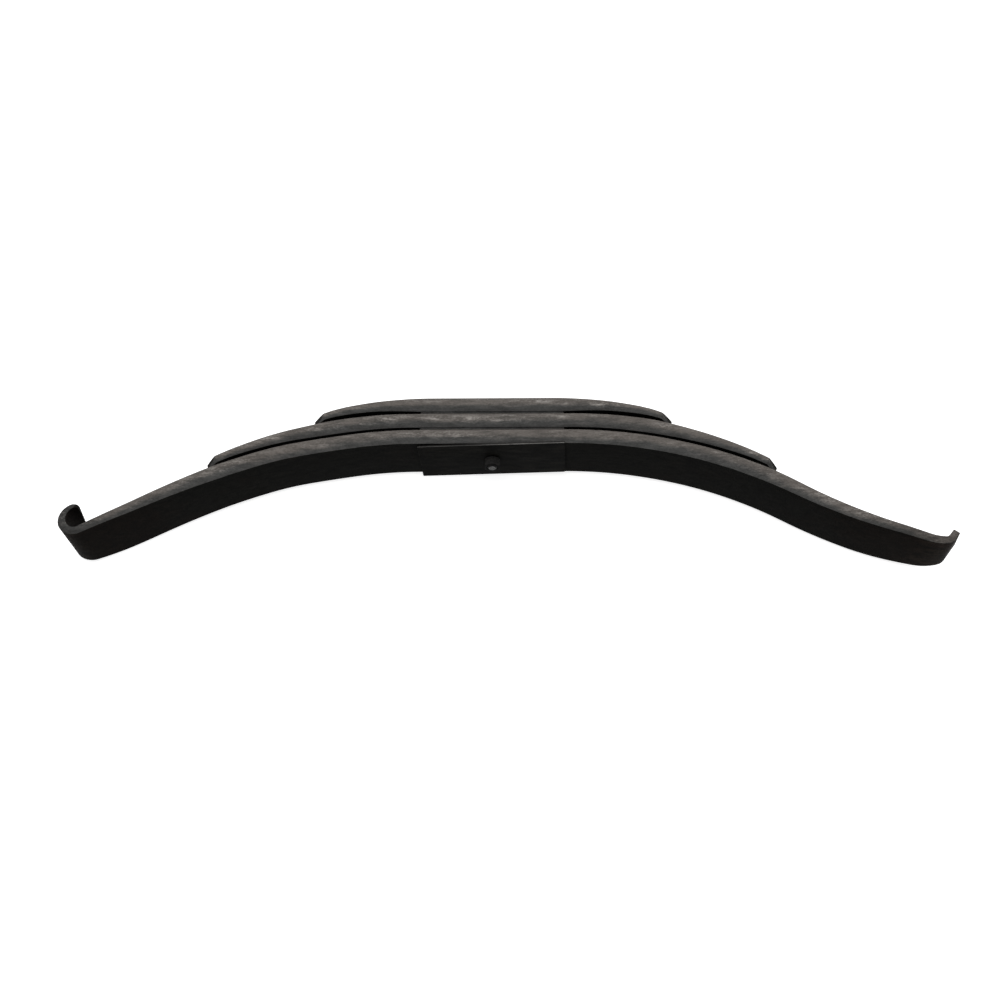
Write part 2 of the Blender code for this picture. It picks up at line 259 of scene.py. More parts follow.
def pick_edges(piece, test):
    """Selects the edges whose two ends pass the test."""
    bpy.ops.mesh.select_mode(type="EDGE")
    bpy.ops.mesh.select_all(action="DESELECT")
    form = bmesh.from_edit_mesh(piece.data)
    for edge in form.edges:
        if test(edge.verts[0].co, edge.verts[1].co):
            edge.select_set(True)
    bmesh.update_edit_mesh(piece.data)


def pick_faces(piece, test):
    """Selects the faces whose middle and normal pass the test."""
    bpy.ops.mesh.select_mode(type="FACE")
    bpy.ops.mesh.select_all(action="DESELECT")
    form = bmesh.from_edit_mesh(piece.data)
    for face in form.faces:
        if test(face.calc_center_median(), face.normal):
            face.select_set(True)
    bmesh.update_edit_mesh(piece.data)


def pick_sharp(degrees):
    """Selects the edges that turn by more than this."""
    bpy.ops.mesh.select_mode(type="EDGE")
    bpy.ops.mesh.select_all(action="DESELECT")
    bpy.ops.mesh.edges_select_sharp(sharpness=math.radians(degrees))


def drop_edges(piece, test):
    """Takes out of the selection the edges whose two ends pass the test."""
    form = bmesh.from_edit_mesh(piece.data)
    for edge in form.edges:
        if edge.select and test(edge.verts[0].co, edge.verts[1].co):
            edge.select_set(False)
    bmesh.update_edit_mesh(piece.data)


def extrude(x, y, z):
    """Extrudes what is selected, and moves it by so much."""
    bpy.ops.mesh.extrude_region_move(TRANSFORM_OT_translate={"value": (x, y, z)})


def leave_edit():
    """Turns all normals outwards and goes back to object mode."""
    bpy.ops.mesh.select_all(action="SELECT")
    bpy.ops.mesh.normals_make_consistent(inside=False)
    bpy.ops.object.mode_set(mode="OBJECT")


def smooth(piece, angle=32):
    """Shades the piece smooth, but for edges sharper than the angle in degrees."""
    only(piece)
    bpy.ops.object.shade_smooth_by_angle(angle=math.radians(angle))


def apply_all(piece):
    """Applies the piece's modifiers."""
    only(piece)
    for modifier in list(piece.modifiers):
        bpy.ops.object.modifier_apply(modifier=modifier.name)


def boolean(piece, cutter, operation="DIFFERENCE"):
    """Cuts the piece with a cutter, and throws the cutter away."""
    modifier = piece.modifiers.new("cut", "BOOLEAN")
    modifier.operation = operation
    modifier.solver = "EXACT"
    modifier.object = cutter
    apply_all(piece)
    bpy.data.objects.remove(cutter)


def bolt_cylinder(radius, low_y, high_y, sides=BOLT_SIDES):
    """A cylinder on the bolt's axis, between two places along it."""
    deselect()
    bpy.ops.mesh.primitive_cylinder_add(
        vertices=sides, radius=radius, depth=high_y - low_y,
        location=(0, (low_y + high_y) / 2, MIDDLE_Z), rotation=(math.radians(90), 0, 0),
    )
    bpy.ops.object.transform_apply(location=True, rotation=True, scale=True)
    return bpy.context.object


# ---- leaves ------------------------------------------------------------------------------------


def stations(sweep, end, extra):
    """Distances from the bolt to a leaf's end: close together where the leaf is bent hard."""
    found = {0.0, end}
    found.update(place for place in extra if place < end)
    start = 0.0
    for length, turn in sweep:
        steps = max(math.ceil(length / STATION), math.ceil(abs(turn) / STATION_TURN))
        found.update(start + length * i / steps for i in range(steps + 1))
        start += length
    ordered = sorted(place for place in found if place <= end)
    kept = [a for a, b in zip(ordered, ordered[1:]) if b - a > CLOSEST]
    return kept + [end]


def edge_lean(step):
    """The angle of the rolled arc from its crest, after so many steps up from its shoulder."""
    return EDGE_REACH * (1 - step / EDGE_STEPS)


def edge_height(thickness, step=EDGE_STEPS - 1):
    """How far the rolled edge stands over its shoulder after so many steps, or at its last one."""
    return EDGE_RADIUS * thickness * (math.cos(edge_lean(step)) - math.cos(EDGE_REACH))


def cut_back(left, trim, fullness):
    """How far a corner cut has come in across the width, with so much length left to the end."""
    into_corner = max(0, 1 - left / trim)
    return trim * (1 - (1 - into_corner ** fullness) ** (1 / fullness))


def roll_edges(half, core, thickness, middle):
    """Pulls the upper and lower edges of the flat section out into the rolled arc, step by step."""
    for top in (1, -1):
        edge_z = MIDDLE_Z + top * core
        for step in range(1, EDGE_STEPS):
            next_z = MIDDLE_Z + top * (core + edge_height(thickness, step))
            narrower = math.sin(edge_lean(step)) / math.sin(edge_lean(step - 1))
            pick_edges(half, lambda a, b: abs(a.z - edge_z) < NEAR and abs(b.z - edge_z) < NEAR)
            extrude(0, 0, next_z - edge_z)
            bpy.ops.transform.resize(value=(1, narrower, 1), center_override=(0, middle, next_z))
            edge_z = next_z


def straight_half(name, side, sweep, end, taper, rise, widths, corners, crown=ROLLED, skew=SQUARE):
    """Half a leaf before it is bent: a section is drawn at the bolt and pulled out station by station."""
    thickness = between(taper, 0)
    core = between(widths, 0) / 2 - edge_height(thickness)
    middle = CONCAVE_Y + rise(0) + thickness / 2
    deselect()
    bpy.ops.mesh.primitive_plane_add(
        size=1, location=(0, middle, MIDDLE_Z), rotation=(0, math.radians(90), 0),
    )
    bpy.context.object.scale = (2 * core, thickness, 1)
    half = start_piece(name)
    roll_edges(half, core, thickness, middle)
    bpy.ops.mesh.select_mode(type="FACE")
    bpy.ops.mesh.select_all(action="SELECT")
    upper_cut, lower_cut, fullness = corners
    in_corner = [end - max(upper_cut, lower_cut) * (1 - share) for share in CORNER_SHARES]
    places = stations(sweep, end, in_corner + [place for place, _ in taper + widths])
    # the flat section reaches this far over and under its middle
    shoulders = {1: core, -1: core}
    for here, there in zip(places, places[1:]):
        new_thickness = between(taper, there)
        new_middle = CONCAVE_Y + rise(there) + new_thickness / 2
        full_core = between(widths, there) / 2 - edge_height(new_thickness)
        grow = new_thickness / thickness
        crown_grow = new_thickness * between(crown, there) / (thickness * between(crown, here))
        extrude(side * (there - here), new_middle - middle, 0)
        bpy.ops.transform.resize(value=(1, grow, 1), center_override=(side * there, new_middle, MIDDLE_Z))
        for top, cut in ((1, upper_cut), (-1, lower_cut)):
            shoulder_z = MIDDLE_Z + top * shoulders[top]
            new_shoulder = full_core - cut_back(end - there, cut, fullness)
            pick_points(half, lambda p: abs(p.x - side * there) < NEAR and top * (p.z - shoulder_z) > -NEAR)
            at_shoulder = (side * there, new_middle, shoulder_z)
            bpy.ops.transform.resize(value=(1, 1, crown_grow), center_override=at_shoulder)
            bpy.ops.transform.translate(value=(0, 0, top * (new_shoulder - shoulders[top])))
            shoulders[top] = new_shoulder
        pick_faces(half, lambda m, n: abs(m.x - side * there) < NEAR)
        thickness, middle = new_thickness, new_middle
    skew_end(half, side, end, places, skew)
    leave_edit()
    return half


def skew_end(half, side, end, places, skew):
    """Turns the last sections little by little about the upper edge, so that the end is out of square."""
    zone, degrees = skew
    for place in places:
        share = 1 - (end - place) / zone
        if share > 0:
            pick_points(half, lambda p: abs(p.x - side * place) < NEAR)
            bpy.ops.transform.rotate(
                value=math.radians(side * degrees * share), orient_axis="Y",
                center_override=(side * place, 0, MIDDLE_Z + STOCK_WIDTH / 2),
            )


def soften_corners(half):
    """A soft corner along the rolled edges and round the tip, but none on the joint at the bolt."""
    only(half)
    bpy.ops.object.mode_set(mode="EDIT")
    pick_sharp(30)
    drop_edges(half, lambda a, b: abs(a.x) < NEAR and abs(b.x) < NEAR)
    bpy.ops.mesh.bevel(offset=CORNER_BREAK, segments=3, profile=0.5, affect="EDGES", clamp_overlap=True)
    leave_edit()


def guide_points(side, sweep):
    """Points along the concave face from the bolt outwards, close together on the bends."""
    place, heading = Vector((0, CONCAVE_Y, 0)), 0.0
    points = [place.copy()]
    for length, turn in sweep:
        steps = max(math.ceil(length / GUIDE_STEP), math.ceil(abs(turn) / GUIDE_TURN))
        for _ in range(steps):
            step, bit = length / steps, math.radians(turn) / steps
            mean = heading + bit / 2
            place = place + step * Vector((side * math.cos(mean), -math.sin(mean), 0))
            heading += bit
            points.append(place.copy())
    return points


def make_guide():
    """One curve from the hook's tip to the lip's tip, which every leaf is bent along."""
    points = guide_points(-1, HOOK_SWEEP)[:0:-1] + guide_points(1, LIP_SWEEP)
    curve = bpy.data.curves.new("bending_guide", "CURVE")
    curve.dimensions = "2D"
    spline = curve.splines.new("POLY")
    spline.points.add(len(points) - 1)
    for point, place in zip(spline.points, points):
        point.co = (*place, 1)
    guide = bpy.data.objects.new("bending_guide", curve)
    bpy.context.scene.collection.objects.link(guide)
    return guide


def bend(half, guide):
    """Lays the straight half along the guide. Distance along the guide counts from the hook's tip."""
    only(half)
    bpy.ops.object.mode_set(mode="EDIT")
    bpy.ops.mesh.select_all(action="SELECT")
    bpy.ops.transform.translate(value=(0, -CONCAVE_Y, 0))
    bpy.ops.object.mode_set(mode="OBJECT")
    half.location.x = HOOK_REACH
    modifier = half.modifiers.new("bend", "CURVE")
    modifier.object = guide
    modifier.deform_axis = "POS_X"
    apply_all(half)
    bpy.ops.object.transform_apply(location=True, rotation=True, scale=True)


def draw_out_lip(half):
    """Moves the lower edge of the lip outwards step by step."""
    only(half)
    bpy.ops.object.mode_set(mode="EDIT")
    for place in LIP_DRAWN_FROM:
        pick_points(half, lambda p: p.x > place and p.z < MIDDLE_Z)
        bpy.ops.transform.translate(value=(LIP_DRAW, 0, 0))
    leave_edit()


def shape_leaf(name, guide, hook, lip):
    """A leaf as two bent halves that meet at the bolt. hook and lip say what each straight half is like."""
    halves = []
    for (word, side, sweep), shape in zip(ENDS, (hook, lip)):
        half = straight_half(f"{name}_{word}_half", side, sweep, **shape)
        soften_corners(half)
        boolean(half, bolt_cylinder(HOLE_RADIUS, CONCAVE_Y - STOCK_WIDTH, CONCAVE_Y + 2 * STOCK_WIDTH))
        bend(half, guide)
        halves.append(half)
    return halves


def attach_leaf(name, halves):
    """Shades each half smooth and hides the CAD pieces it takes the place of: its own arm, and for the lip
    half also the leaf's middle.
    """
    for (word, side, _), half in zip(ENDS, halves):
        smooth(half)
        nodes = [f"{name}_{word}_arm"]
        if word == "lip":
            nodes.append(f"{name}_centre")
        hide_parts(*nodes)
        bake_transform(half)


def on_guide(place):
    """The main leaf lies on the guide all along."""
    return 0


def above_main(taper):
    """How far the second leaf lies off the guide, over a main leaf of this taper."""
    return lambda place: between(taper, place) + between(MAIN_TO_SECOND, place)


def above_second(taper):
    """How far the third leaf lies off the guide."""
    second = above_main(taper)
    return lambda place: second(place) + between(SECOND_TAPER, place) + between(SECOND_TO_THIRD, place)


def make_main_leaf(guide):
    """The long leaf, with the hook at one end and the lip at the other."""
    hook = {
        "end": HOOK_REACH, "taper": MAIN_HOOK_TAPER, "rise": on_guide, "widths": MAIN_HOOK_WIDTH,
        "corners": HOOK_CORNERS, "skew": HOOK_SKEW,
    }
    lip = {
        "end": LIP_REACH, "taper": MAIN_LIP_TAPER, "rise": on_guide, "widths": MAIN_LIP_WIDTH,
        "corners": LIP_CORNERS, "crown": SHEARED_LIP,
    }
    halves = shape_leaf("main_leaf", guide, hook, lip)
    draw_out_lip(halves[1])
    attach_leaf("main_leaf", halves)
    return halves


def make_short_leaf(name, guide, reaches, taper, above):
    """A leaf with plain ends, which follows the main leaf from outside."""
    hook, lip = (
        {
            "end": reach, "taper": taper, "rise": above(main_taper), "widths": SHORT_WIDTH,
            "corners": TIP_CORNERS,
        }
        for reach, main_taper in zip(reaches, (MAIN_HOOK_TAPER, MAIN_LIP_TAPER))
    )
    halves = shape_leaf(name, guide, hook, lip)
    attach_leaf(name, halves)
    return halves


def make_leaves():
    """The three leaves, from the concave side outwards."""
    guide = make_guide()
    made = make_main_leaf(guide)
    made += make_short_leaf("second_leaf", guide, SECOND_CUTS, SECOND_TAPER, above_main)
    made += make_short_leaf("third_leaf", guide, (THIRD_REACH, THIRD_REACH), THIRD_TAPER, above_second)
    bpy.data.objects.remove(guide)
    return made


# ---- flat pieces on the bolt ---------------------------------------------------------------------


def sheared_strip(name, middle, size, corner, edge_break, steps):
    """A strip with cut corners, broken edges and a hole for the bolt."""
    deselect()
    bpy.ops.mesh.primitive_cube_add(size=1, location=middle, scale=size)
    strip = start_piece(name)
    pick_edges(strip, lambda a, b: abs(a.x - b.x) < NEAR and abs(a.z - b.z) < NEAR)
    bpy.ops.mesh.bevel(offset=corner, segments=4, affect="EDGES")
    pick_sharp(60)
    bpy.ops.mesh.bevel(offset=edge_break, segments=steps, affect="EDGES")
    leave_edit()
    boolean(strip, bolt_cylinder(HOLE_RADIUS, middle.y - 1.5 * size.y, middle.y + 1.5 * size.y))
    return strip


def make_liners():
    """A strip of sheet on each side of the second leaf, just under the crests of the edges."""
    made = []
    for node in ("inner_liner", "outer_liner"):
        low, high = (Vector(corner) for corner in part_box(node))
        high.z -= LINER_RECESS
        liner = sheared_strip(node + "_strip", (low + high) / 2, high - low, LINER_CORNER, LINER_EDGE, 2)
        smooth(liner)
        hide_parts(node)
        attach(liner, BODY)
        made.append(liner)
    return made


def make_clamp_plate():
    """The plate under the nut, turned a little about the bolt as it was bolted up."""
    low, high = (Vector(corner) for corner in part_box("clamp_plate"))
    middle, size = (low + high) / 2, high - low
    # the box of a turned rectangle gives back its length and width
    turn = math.radians(abs(PLATE_SKEW))
    spread = math.cos(turn) ** 2 - math.sin(turn) ** 2
    length = (size.x * math.cos(turn) - size.z * math.sin(turn)) / spread
    width = (size.z * math.cos(turn) - size.x * math.sin(turn)) / spread
    flat = Vector((length, size.y, width))
    plate = sheared_strip("clamp_plate_strip", middle, flat, PLATE_CORNER, PLATE_EDGE, 3)
    plate.data.transform(Matrix.Translation(-middle))
    plate.location = middle + Vector((0, 0, PLATE_LIFT))
    plate.rotation_euler = (0, math.radians(PLATE_SKEW), 0)
    only(plate)
    bpy.ops.object.transform_apply(location=True, rotation=True, scale=True)
    smooth(plate)
    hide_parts("clamp_plate")
    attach(plate, BODY)
    return plate


# ---- bolt and nut --------------------------------------------------------------------------------


def pick_end(bolt, y):
    """Selects the flat end of the bolt that is at this place along it."""
    pick_faces(bolt, lambda m, n: abs(n.y) > 0.9 and abs(m.y - y) < NEAR)


def pull_end(distance, factor=1):
    """Extrudes the picked end along the bolt and scales its rim."""
    extrude(0, distance, 0)
    bpy.ops.transform.resize(value=(factor, 1, factor), center_override=(0, 0, MIDDLE_Z))


def roll_thread(bolt, end_y):
    """Cuts the end back, pulls it out again turn by turn to the point, and marks its centre."""
    pick_end(bolt, end_y)
    bpy.ops.transform.translate(value=(0, THREAD_END, 0))
    root = (BOLT_RADIUS - THREAD_DEPTH) / BOLT_RADIUS
    land = THREAD_PITCH / 2 - THREAD_FLANK
    left = THREAD_END
    while left > THREAD_PITCH + POINT_LENGTH:
        pull_end(-THREAD_FLANK, root)
        pull_end(-land)
        pull_end(-THREAD_FLANK, 1 / root)
        pull_end(-land)
        left -= THREAD_PITCH
    pull_end(POINT_LENGTH - left)
    for share, narrower in POINT_TAPER:
        pull_end(-share * POINT_LENGTH, narrower)
    bpy.ops.mesh.inset(thickness=DIMPLE_FROM)
    bpy.ops.mesh.inset(thickness=DIMPLE_DEPTH)
    bpy.ops.transform.translate(value=(0, DIMPLE_DEPTH, 0))


def form_head(bolt, seat_y, radius):
    """Pulls the other end out into a wide cylinder with a rounded crown."""
    pick_end(bolt, seat_y)
    bpy.ops.mesh.inset(thickness=HEAD_SEAT)
    pull_end(0, radius / (BOLT_RADIUS - HEAD_SEAT))
    for share, narrower in HEAD_CROWN:
        pull_end(share * HEAD_HEIGHT, narrower)


def make_bolt():
    """Round head, plain shank, rolled thread with a chamfered end."""
    low, high = (Vector(corner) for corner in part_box("centre_bolt"))
    end_y, seat_y = low.y + BOLT_SHORT, high.y - HEAD_HEIGHT
    bolt = bolt_cylinder(BOLT_RADIUS, end_y, seat_y)
    bolt.name = "centre_bolt_turned"
    bolt.data.name = bolt.name
    only(bolt)
    bpy.ops.object.mode_set(mode="EDIT")
    roll_thread(bolt, end_y)
    form_head(bolt, seat_y, (high.x - low.x) / 2)
    leave_edit()
    smooth(bolt, 40)
    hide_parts("centre_bolt")
    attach(bolt, BODY)
    return bolt


def make_nut():
    """A hexagon whose corners are turned off to a cone at both ends, with a countersunk bore."""
    low, high = (Vector(corner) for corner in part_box("centre_nut"))
    height = high.y - low.y
    corner = NUT_FLATS / 2 / math.cos(math.radians(30))
    deselect()
    bpy.ops.mesh.primitive_cylinder_add(
        vertices=6, radius=corner, depth=height,
        location=(0, (low.y + high.y) / 2, MIDDLE_Z), rotation=(math.radians(90), math.radians(NUT_TURN), 0),
    )
    nut = start_piece("centre_nut_hexagon")
    leave_edit()
    turned = bolt_cylinder(corner + NUT_SPARE, low.y, high.y, NUT_SIDES)
    only(turned)
    bpy.ops.object.mode_set(mode="EDIT")
    pick_sharp(60)
    bpy.ops.mesh.bevel(offset=NUT_CHAMFER, segments=1, affect="EDGES")
    leave_edit()
    boolean(nut, turned, "INTERSECT")
    boolean(nut, bolt_cylinder(BOLT_RADIUS + NUT_PLAY, low.y - height / 2, high.y + height / 2))
    boolean(nut, bolt_cylinder(BOLT_RADIUS + NUT_SINK, low.y - NUT_SINK_DEPTH, low.y + NUT_SINK_DEPTH))
    modifier = nut.modifiers.new("edges", "BEVEL")
    modifier.width = NUT_EDGE
    modifier.segments = 2
    modifier.limit_method = "ANGLE"
    modifier.angle_limit = math.radians(20)
    apply_all(nut)
    smooth(nut, 30)
    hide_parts("centre_nut")
    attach(nut, BODY)
    return nut


# ---- materials -----------------------------------------------------------------------------------


class Net:
    """A short way to add and join shader nodes. A value is a number, or a socket that gives it."""

    def __init__(self, tree):
        self.tree = tree

    def add(self, kind, **values):
        """A new node with its own settings."""
        node = self.tree.nodes.new(kind)
        for name, value in values.items():
            setattr(node, name, value)
        return node

    def set(self, node, **values):
        """Sets sockets by name."""
        for name, value in values.items():
            node.inputs[name.replace("_", " ")].default_value = value

    def join(self, source, target):
        """Links one socket to another."""
        self.tree.links.new(source, target)

    def noise(self, place, scale, detail, roughness=0.55):
        """Noise with the same grain in all directions."""
        node = self.add("ShaderNodeTexNoise")
        self.set(node, Scale=scale, Detail=detail, Roughness=roughness)
        self.join(place, node.inputs["Vector"])
        return node.outputs["Fac"]

    def streaks(self, place, squeeze, scale, detail, roughness):
        """Noise that is drawn out along the bar: squeeze is its scale in X."""
        node = self.add("ShaderNodeMapping")
        self.set(node, Scale=(squeeze, 1, 1))
        self.join(place, node.inputs["Vector"])
        return self.noise(node.outputs["Vector"], scale, detail, roughness)

    def split(self, vector):
        """The sockets X, Y and Z of a vector."""
        node = self.add("ShaderNodeSeparateXYZ")
        self.join(vector, node.inputs["Vector"])
        return node.outputs

    def step(self, value, low, high, to_low=0.0, to_high=1.0):
        """Goes smoothly from to_low to to_high while the value goes from low to high."""
        node = self.add("ShaderNodeMapRange", interpolation_type="SMOOTHSTEP")
        self.join(value, node.inputs["Value"])
        self.set(node, From_Min=low, From_Max=high, To_Min=to_low, To_Max=to_high)
        return node.outputs["Result"]

    def math(self, operation, *values):
        """A sum or another operation on values."""
        node = self.add("ShaderNodeMath", operation=operation)
        for socket, value in zip(node.inputs, values):
            if isinstance(value, (int, float)):
                socket.default_value = value
            else:
                self.join(value, socket)
        return node.outputs["Value"]

    def plus(self, a, b):
        """The sum."""
        return self.math("ADD", a, b)

    def times(self, a, b):
        """The product."""
        return self.math("MULTIPLY", a, b)

    def size(self, value):
        """The value without its sign."""
        return self.math("ABSOLUTE", value)

    def mix(self, factor, a, b, blend="MIX"):
        """Mixes two colours."""
        node = self.add("ShaderNodeMix", data_type="RGBA", blend_type=blend)
        for socket, value in ((node.inputs["Factor"], factor), (node.inputs["A"], a), (node.inputs["B"], b)):
            if isinstance(value, (int, float)):
                socket.default_value = value
            elif isinstance(value, tuple):
                socket.default_value = (*value, 1)
            else:
                self.join(value, socket)
        return node.outputs["Result"]


def new_group(name, inputs, outputs):
    """A shader group with its sockets, each as name: kind."""
    group = bpy.data.node_groups.new(name, "ShaderNodeTree")
    for direction, sockets in (("INPUT", inputs), ("OUTPUT", outputs)):
        for label, kind in sockets.items():
            group.interface.new_socket(name=label, in_out=direction, socket_type=f"NodeSocket{kind}")
    net = Net(group)
    return group, net, net.add("NodeGroupInput"), net.add("NodeGroupOutput")


def scale_group():
    """Mill scale: brown patches over blue grey, drawn out along the bar, with pale rubbed streaks, which the
    leaf's edges also use as a painted highlight.
    """
    group, net, given, result = new_group(
        "mill_scale",
        {
            "Place": "Vector", "Grey": "Color", "Brown": "Color", "Rubbed": "Color",
            "Brown Share": "Float", "Rubbed Share": "Float", "Contrast": "Float",
        },
        {"Color": "Color", "Height": "Float", "Rubbed": "Float"},
    )
    place = given.outputs["Place"]
    broad = net.streaks(place, 0.2, 34, 6, 0.62)
    middling = net.streaks(place, 0.24, 190, 5, 0.66)
    fine = net.streaks(place, 0.5, 640, 3, 0.6)

    # where the scale is brown, and where grey
    both = net.plus(net.times(broad, 0.6), net.times(middling, 0.4))
    patch = net.step(net.plus(both, net.plus(given.outputs["Brown Share"], -1.0)), -0.17, 0.17)
    base = net.mix(patch, given.outputs["Grey"], given.outputs["Brown"])

    # lighter and darker mottles
    mottle = net.plus(net.step(middling, 0.3, 0.7, -0.5, 0.5), net.step(fine, 0.3, 0.7, -0.35, 0.35))
    tone = net.plus(1.0, net.times(mottle, given.outputs["Contrast"]))
    grey_tone = net.add("ShaderNodeCombineColor")
    for channel in ("Red", "Green", "Blue"):
        net.join(tone, grey_tone.inputs[channel])
    toned = net.mix(1.0, base, grey_tone.outputs["Color"], "MULTIPLY")

    # streaks that are rubbed bright, in some places only: wear, and on the leaf's edges a painted highlight
    # where the share follows the crest
    streak = net.step(net.plus(net.times(middling, 0.6), net.times(fine, 0.4)), 0.47, 0.66)
    where = net.step(net.streaks(place, 0.25, 60, 4, 0.6), 0.4, 0.66)
    rubbed = net.times(net.times(streak, where), given.outputs["Rubbed Share"])
    net.join(net.mix(rubbed, toned, given.outputs["Rubbed"]), result.inputs["Color"])
    net.join(net.plus(net.times(fine, 0.35), net.times(middling, 0.65)), result.inputs["Height"])
    net.join(rubbed, result.inputs["Rubbed"])
    return group


def new_material(name, colour, roughness, specular):
    """A material, its net, its shader and the object coordinates. Its nodes take the place of the colour."""
    material = bpy.data.materials.new(name)
    material.use_nodes = True
    shader = material.node_tree.nodes["Principled BSDF"]
    shader.inputs["Base Color"].default_value = (*colour, 1)
    shader.inputs["Roughness"].default_value = roughness
    shader.inputs["Specular IOR Level"].default_value = specular
    net = Net(material.node_tree)
    return material, net, shader, net.add("ShaderNodeTexCoord").outputs["Object"]


def use_scale(net, group, place, grey, brown, rubbed, **shares):
    """Places the mill scale group. Shares are numbers, or sockets that vary them over the surface."""
    node = net.add("ShaderNodeGroup")
    node.node_tree = group
    net.join(place, node.inputs["Place"])
    for label, value in (("Grey", grey), ("Brown", brown), ("Rubbed", rubbed)):
        node.inputs[label].default_value = (*value, 1)
    for label, value in shares.items():
        socket = node.inputs[label.replace("_", " ").title()]
        if isinstance(value, (int, float)):
            socket.default_value = value
        else:
            net.join(value, socket)
    return node.outputs


def facing(net):
    """The piece's own normal, as X, Y and Z."""
    return net.split(net.add("ShaderNodeTexCoord").outputs["Normal"])


def bump(net, shader, height, strength, distance):
    """Raises the surface by a height that varies over it."""
    node = net.add("ShaderNodeBump")
    net.set(node, Strength=strength, Distance=distance)
    net.join(height, node.inputs["Height"])
    net.join(node.outputs["Normal"], shader.inputs["Normal"])


def leaf_material(group):
    """Near-black broad faces and sheared tips, partly dark scale and partly painted shade, and a lighter
    scale with rubbed streaks on the rolled edges, lighter towards their back with painted light and with a
    painted highlight along their crest.
    """
    material, net, shader, place = new_material("leaf_scale", (0.05, 0.05, 0.05), 0.65, 0.022)
    normal = facing(net)
    along = net.split(place)["X"]
    from_bolt = net.size(along)

    # the edges are what looks up or down but not the tips, with a wandering border, and fade at the ends
    wander = net.times(net.plus(net.streaks(place, 0.3, 60, 5, 0.6), -0.5), 0.6)
    leaning = net.plus(net.size(normal["Z"]), net.times(normal["Y"], 0.15))
    edge = net.step(net.plus(leaning, wander), 0.38, 0.56)
    edge = net.times(edge, net.step(net.size(normal["X"]), 0.55, 0.68, 1.0, 0.2))
    edge = net.times(edge, net.step(from_bolt, 0.44, 0.515, 1.0, 0.66))

    # their scale is browner and lighter towards the back, partly its colour and partly painted light from
    # the key lamp behind, and its rubbed streaks gather along the crest as a painted highlight
    lit_and_brown_back = net.step(normal["Y"], -0.6, 0.25, 0.3, 0.68)
    lit_and_brown_share = net.times(lit_and_brown_back, net.step(along, -0.515, -0.46, 0.45, 1.0))
    # painted highlight: the pale rubbed colour is gathered along the crest, where the key lamp's reflection
    # falls, with rubbed wear in it
    crest_highlight = net.times(net.step(normal["Y"], -0.5, 0.1), net.step(normal["Y"], 0.3, 0.66, 1.0, 0.35))
    rolled = use_scale(
        net, group, place, (0.060, 0.0595, 0.058), (0.103, 0.093, 0.085), (0.25, 0.235, 0.22),
        brown_share=lit_and_brown_share, rubbed_share=crest_highlight, contrast=0.4,
    )

    # the broad faces are near-black, dark scale with painted shade, and turn from black to rusty towards the
    # ends
    broad = use_scale(
        net, group, place, (0.0028, 0.0028, 0.0024), (0.0029, 0.0020, 0.0014), (0.010, 0.009, 0.008),
        brown_share=net.step(from_bolt, 0.34, 0.53, 0.36, 0.7), rubbed_share=0.3, contrast=0.8,
    )
    rust = use_scale(
        net, group, place, (0.0035, 0.0029, 0.0023), (0.012, 0.0075, 0.005), (0.025, 0.019, 0.014),
        brown_share=0.5, rubbed_share=0.4, contrast=1.0,
    )
    dark = net.mix(net.step(from_bolt, 0.49, 0.565), broad["Color"], rust["Color"])
    net.join(net.mix(edge, dark, rolled["Color"]), shader.inputs["Base Color"])
    shine = net.times(rolled["Rubbed"], edge)
    net.join(net.times(shine, 0.5), shader.inputs["Metallic"])
    net.join(net.step(shine, 0, 1, 0.68, 0.5), shader.inputs["Roughness"])
    bump(net, shader, rolled["Height"], 0.6, 0.0008)
    return material


def strip_material(group, name, grey, brown, edge_highlight_colour, highlight_at_hook_end):
    """Dark scaled strip with a painted highlight on its broken upper front edge and painted shade on the top
    face behind it: the last argument is the highlight's share left at the hook end.
    """
    material, net, shader, place = new_material(name, grey, 0.65, 0.02)
    scale = use_scale(
        net, group, place, grey, brown, tuple(4 * c for c in grey),
        brown_share=0.4, rubbed_share=0.3, contrast=0.8,
    )
    normal = facing(net)
    # painted highlight on the upper front edge, and painted shade on the top face behind it, where the
    # leaf's crown stands over it
    edge = net.times(net.step(normal["Z"], 0.3, 0.6), net.step(normal["Y"], -0.2, -0.05, 1.0, 0.12))
    edge = net.times(edge, net.step(net.noise(place, 60, 5, 0.6), 0.3, 0.6, 0.7, 1.0))
    # the painted highlight fades to its share at the hook end
    edge = net.times(edge, net.step(net.split(place)["X"], -0.03, 0.03, highlight_at_hook_end, 1.0))
    net.join(net.mix(edge, scale["Color"], edge_highlight_colour), shader.inputs["Base Color"])
    bump(net, shader, scale["Height"], 0.4, 0.0005)
    return material


def liner_material(group):
    """Grey scaled sheet with an even painted highlight on its upper front edge."""
    return strip_material(
        group, "liner_scale", grey=(0.02, 0.02, 0.02), brown=(0.03, 0.024, 0.02),
        edge_highlight_colour=(0.06, 0.056, 0.052), highlight_at_hook_end=1.0,
    )


def plate_material(group):
    """Black scaled plate with a painted highlight on its upper front edge, brighter towards the lip end."""
    return strip_material(
        group, "plate_scale", grey=(0.0034, 0.0034, 0.0031), brown=(0.006, 0.0052, 0.004),
        edge_highlight_colour=(0.16, 0.155, 0.15), highlight_at_hook_end=0.35,
    )


